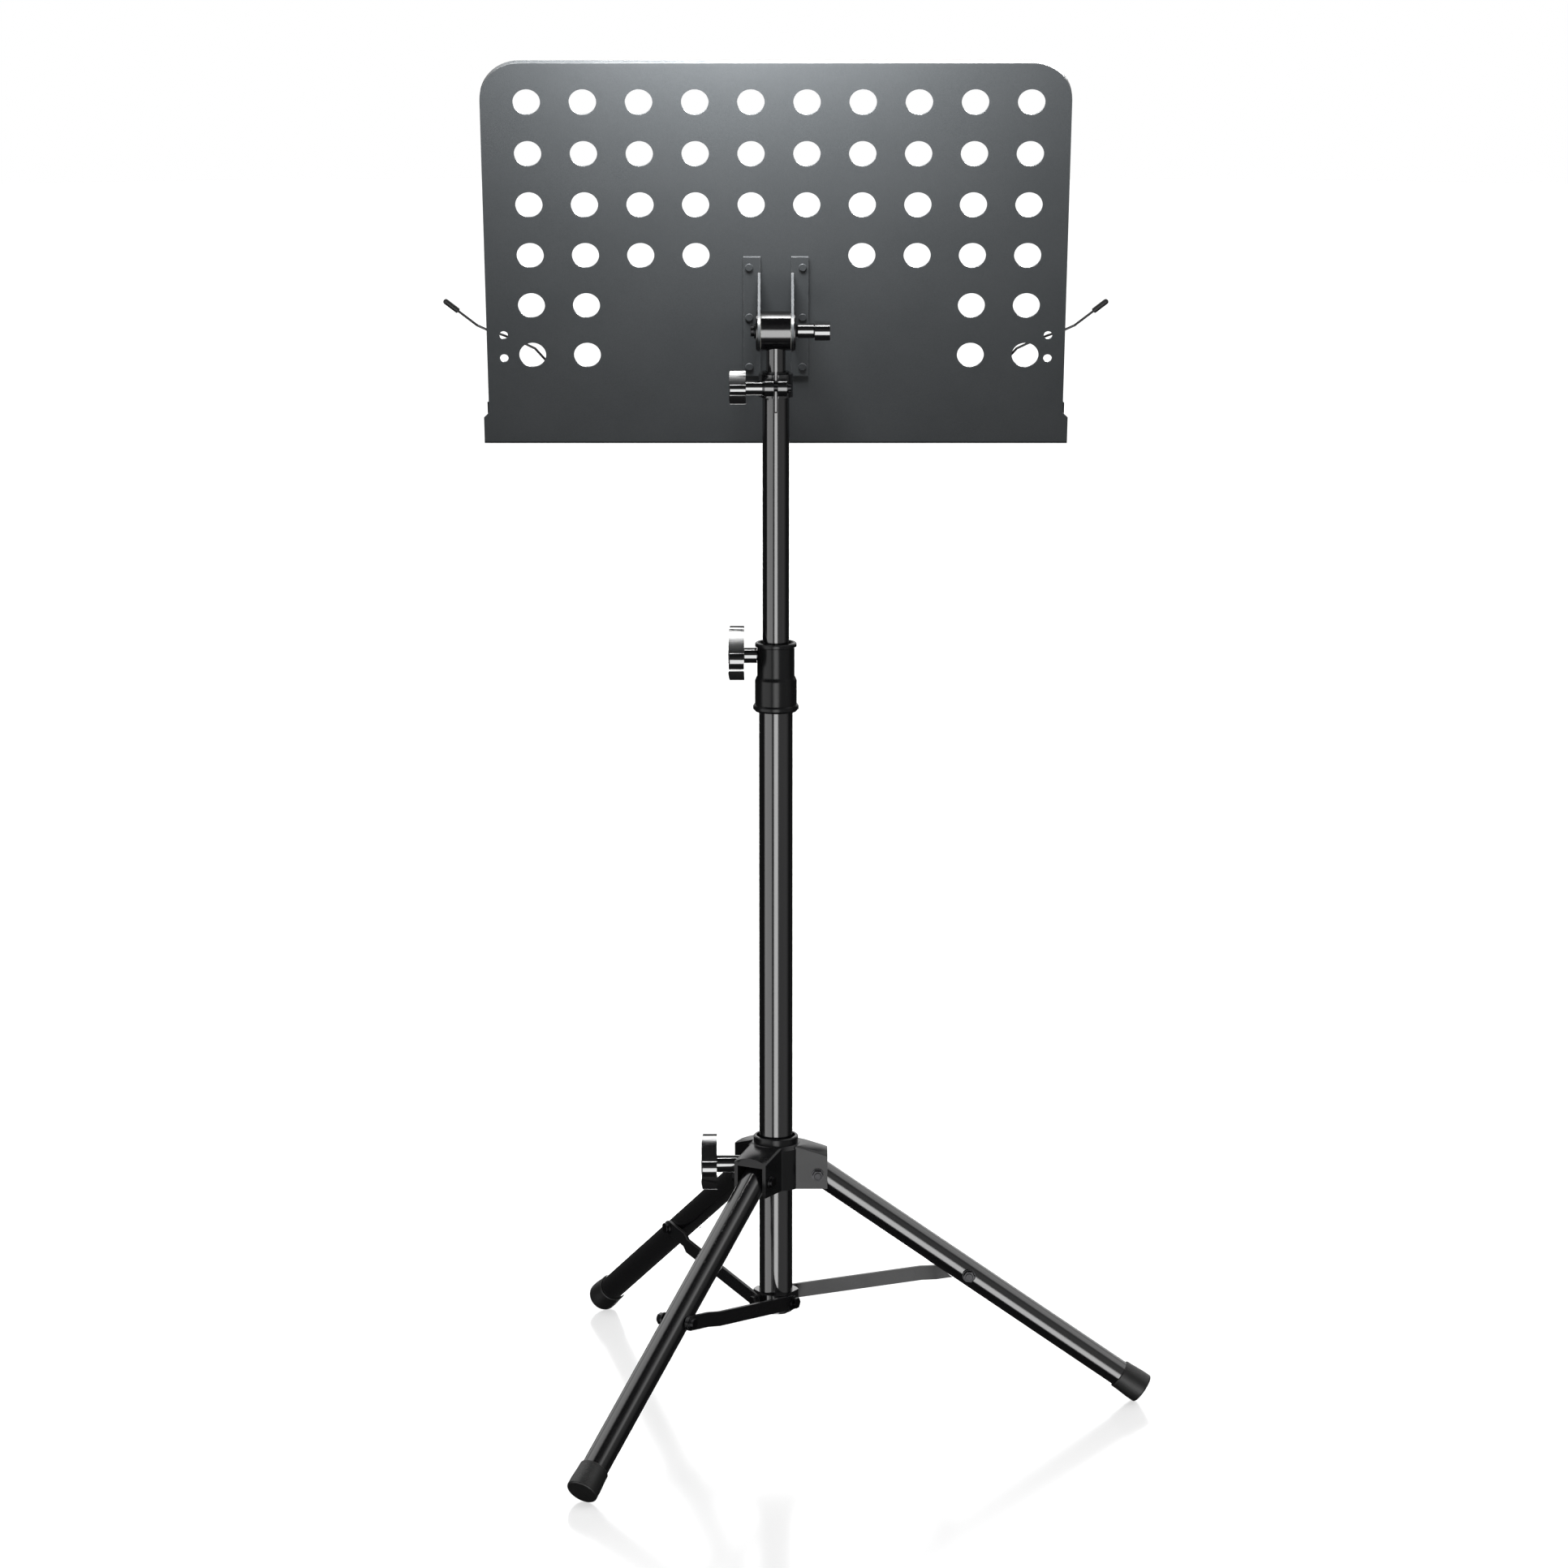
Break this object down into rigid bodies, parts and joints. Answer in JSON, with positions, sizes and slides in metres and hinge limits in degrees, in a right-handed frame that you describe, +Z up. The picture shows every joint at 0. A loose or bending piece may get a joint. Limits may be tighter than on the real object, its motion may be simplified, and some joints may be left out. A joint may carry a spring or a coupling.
{
  "type": "music stand",
  "caption": "Folding music stand: a perforated sheet desk with shelf and page holders on a tilting, telescopic column over a folding tripod.",
  "frame": {"origin": "on the floor, on the axis of the column", "axes": "+Z up along the column, +Y towards the reader in front of the desk, +X along leg B and along the desk's width"},
  "size_m": [0.5888, 0.5524, 1.1242],
  "materials": {
    "powder_coat": "satin fine-grain powder coat",
    "gloss_enamel": "glossy black enamel",
    "satin_enamel": "satin black enamel",
    "moulded_plastic": "semi-gloss moulded nylon",
    "knob_plastic": "polished moulded plastic",
    "nylon": "natural nylon",
    "rubber": "matte rubber",
    "wire": "black-coated spring wire",
    "brass": "machined",
    "dark_steel": "black oxide"
  },
  "bodies": {
    "column": {"lower_tube": "gloss_enamel", "height_collar": "moulded_plastic", "height_pad": "brass", "strut_bracket": "gloss_enamel", "strut_bracket_bolts": "dark_steel", "tube_plug": "moulded_plastic"},
    "mast": {"upper_tube": "gloss_enamel", "neck_sleeve": "moulded_plastic", "swivel_clamp": "gloss_enamel", "swivel_clamp_nut": "dark_steel", "upper_tube_guide": "nylon"},
    "head": {"tilt_barrel": "gloss_enamel", "tilt_friction_discs": "nylon", "neck_rod": "gloss_enamel"},
    "desk": {"desk_plate": "powder_coat", "desk_bracket_left": "powder_coat", "desk_bracket_right": "powder_coat", "bracket_rivets": "powder_coat", "holder_studs": "dark_steel", "tilt_bolt": "dark_steel", "tilt_cup_washers": "gloss_enamel"},
    "holder_left": {"page_holder_left": "wire", "holder_tip_left": "rubber"},
    "holder_right": {"page_holder_right": "wire", "holder_tip_right": "rubber"},
    "tilt_knob": {"tilt_knob": "knob_plastic", "tilt_knob_nut": "brass"},
    "swivel_knob": {"swivel_knob": "knob_plastic", "swivel_screw": "dark_steel", "swivel_washer": "dark_steel"},
    "height_knob": {"height_knob": "knob_plastic", "height_screw": "dark_steel"},
    "hub": {"tripod_hub": "moulded_plastic", "hub_bush": "moulded_plastic", "hub_insert": "brass", "leg_pivot_bolts": "dark_steel", "leg_pivot_nuts": "dark_steel"},
    "hub_knob": {"hub_knob": "knob_plastic", "hub_screw": "dark_steel"},
    "leg_a": {"leg_a": "gloss_enamel", "foot_a": "rubber", "leg_nut_a": "dark_steel"},
    "strut_a": {"strut_a": "satin_enamel", "strut_bolt_a": "dark_steel"},
    "leg_b": {"leg_b": "gloss_enamel", "foot_b": "rubber", "leg_nut_b": "dark_steel"},
    "strut_b": {"strut_b": "satin_enamel", "strut_bolt_b": "dark_steel"},
    "leg_c": {"leg_c": "gloss_enamel", "foot_c": "rubber", "leg_nut_c": "dark_steel"},
    "strut_c": {"strut_c": "satin_enamel", "strut_bolt_c": "dark_steel"}
  },
  "joints": [
    {"name": "height_slide", "type": "slide", "parent": "column", "child": "mast", "axis": [0, 0, 1], "range_m": [-0.18, 0.2]},
    {"name": "desk_swivel", "type": "hinge", "parent": "mast", "child": "head", "pos_m": [0, 0, 0.88518], "axis": [0, 0, 1], "continuous": true},
    {"name": "desk_tilt", "type": "hinge", "parent": "head", "child": "desk", "pos_m": [0, 0, 0.90518], "axis": [1, 0, 0], "range_deg": [-10, 70]},
    {"name": "holder_right_swing", "type": "hinge", "parent": "desk", "child": "holder_right", "pos_m": [0.14, 0.13895, 0.82582], "axis": [0, -0.9432, -0.3322], "range_deg": [-20, 80]},
    {"name": "holder_left_swing", "type": "hinge", "parent": "desk", "child": "holder_left", "pos_m": [-0.14, 0.13895, 0.82582], "axis": [0, 0.9432, 0.3322], "range_deg": [-20, 80]},
    {"name": "tilt_knob_turn", "type": "hinge", "parent": "desk", "child": "tilt_knob", "pos_m": [0.03, 0, 0.90518], "axis": [1, 0, 0], "range_deg": [0, 360]},
    {"name": "swivel_knob_turn", "type": "hinge", "parent": "mast", "child": "swivel_knob", "pos_m": [-0.03, -0.0195, 0.86118], "axis": [-1, 0, 0], "range_deg": [0, 360]},
    {"name": "height_knob_turn", "type": "hinge", "parent": "column", "child": "height_knob", "pos_m": [-0.03, 0, 0.63818], "axis": [-1, 0, 0], "range_deg": [0, 360]},
    {"name": "hub_knob_turn", "type": "hinge", "parent": "hub", "child": "hub_knob", "pos_m": [-0.05, 0, 0.20668], "axis": [-1, 0, 0], "range_deg": [0, 360]},
    {"name": "hub_slide", "type": "slide", "parent": "column", "child": "hub", "axis": [0, 0, 1], "range_m": [0, 0.20078]},
    {"name": "leg_a_fold", "type": "hinge", "parent": "hub", "child": "leg_a", "pos_m": [-0.0175, -0.03031, 0.20098], "axis": [0.866, -0.5, 0], "range_deg": [0, 55.16]},
    {"name": "strut_a_fold", "type": "hinge", "parent": "column", "child": "strut_a", "pos_m": [0.01355, -0.01013, 0.08918], "axis": [-0.866, 0.5, 0], "range_deg": [0, 69.86]},
    {"name": "leg_b_fold", "type": "hinge", "parent": "hub", "child": "leg_b", "pos_m": [0.035, 0, 0.20098], "axis": [0, 1, 0], "range_deg": [0, 55.16]},
    {"name": "strut_b_fold", "type": "hinge", "parent": "column", "child": "strut_b", "pos_m": [0.002, 0.0168, 0.08918], "axis": [0, -1, 0], "range_deg": [0, 69.86]},
    {"name": "leg_c_fold", "type": "hinge", "parent": "hub", "child": "leg_c", "pos_m": [-0.0175, 0.03031, 0.20098], "axis": [-0.866, -0.5, 0], "range_deg": [0, 55.16]},
    {"name": "strut_c_fold", "type": "hinge", "parent": "column", "child": "strut_c", "pos_m": [-0.01555, -0.00667, 0.08918], "axis": [0.866, 0.5, 0], "range_deg": [0, 69.86]}
  ],
  "couplings": [
    {"joint": "leg_a_fold", "follows": "hub_slide", "rad_per_m": 4.7932},
    {"joint": "strut_a_fold", "follows": "hub_slide", "rad_per_m": 6.0712},
    {"joint": "leg_b_fold", "follows": "hub_slide", "rad_per_m": 4.7932},
    {"joint": "strut_b_fold", "follows": "hub_slide", "rad_per_m": 6.0712},
    {"joint": "leg_c_fold", "follows": "hub_slide", "rad_per_m": 4.7932},
    {"joint": "strut_c_fold", "follows": "hub_slide", "rad_per_m": 6.0712}
  ]
}
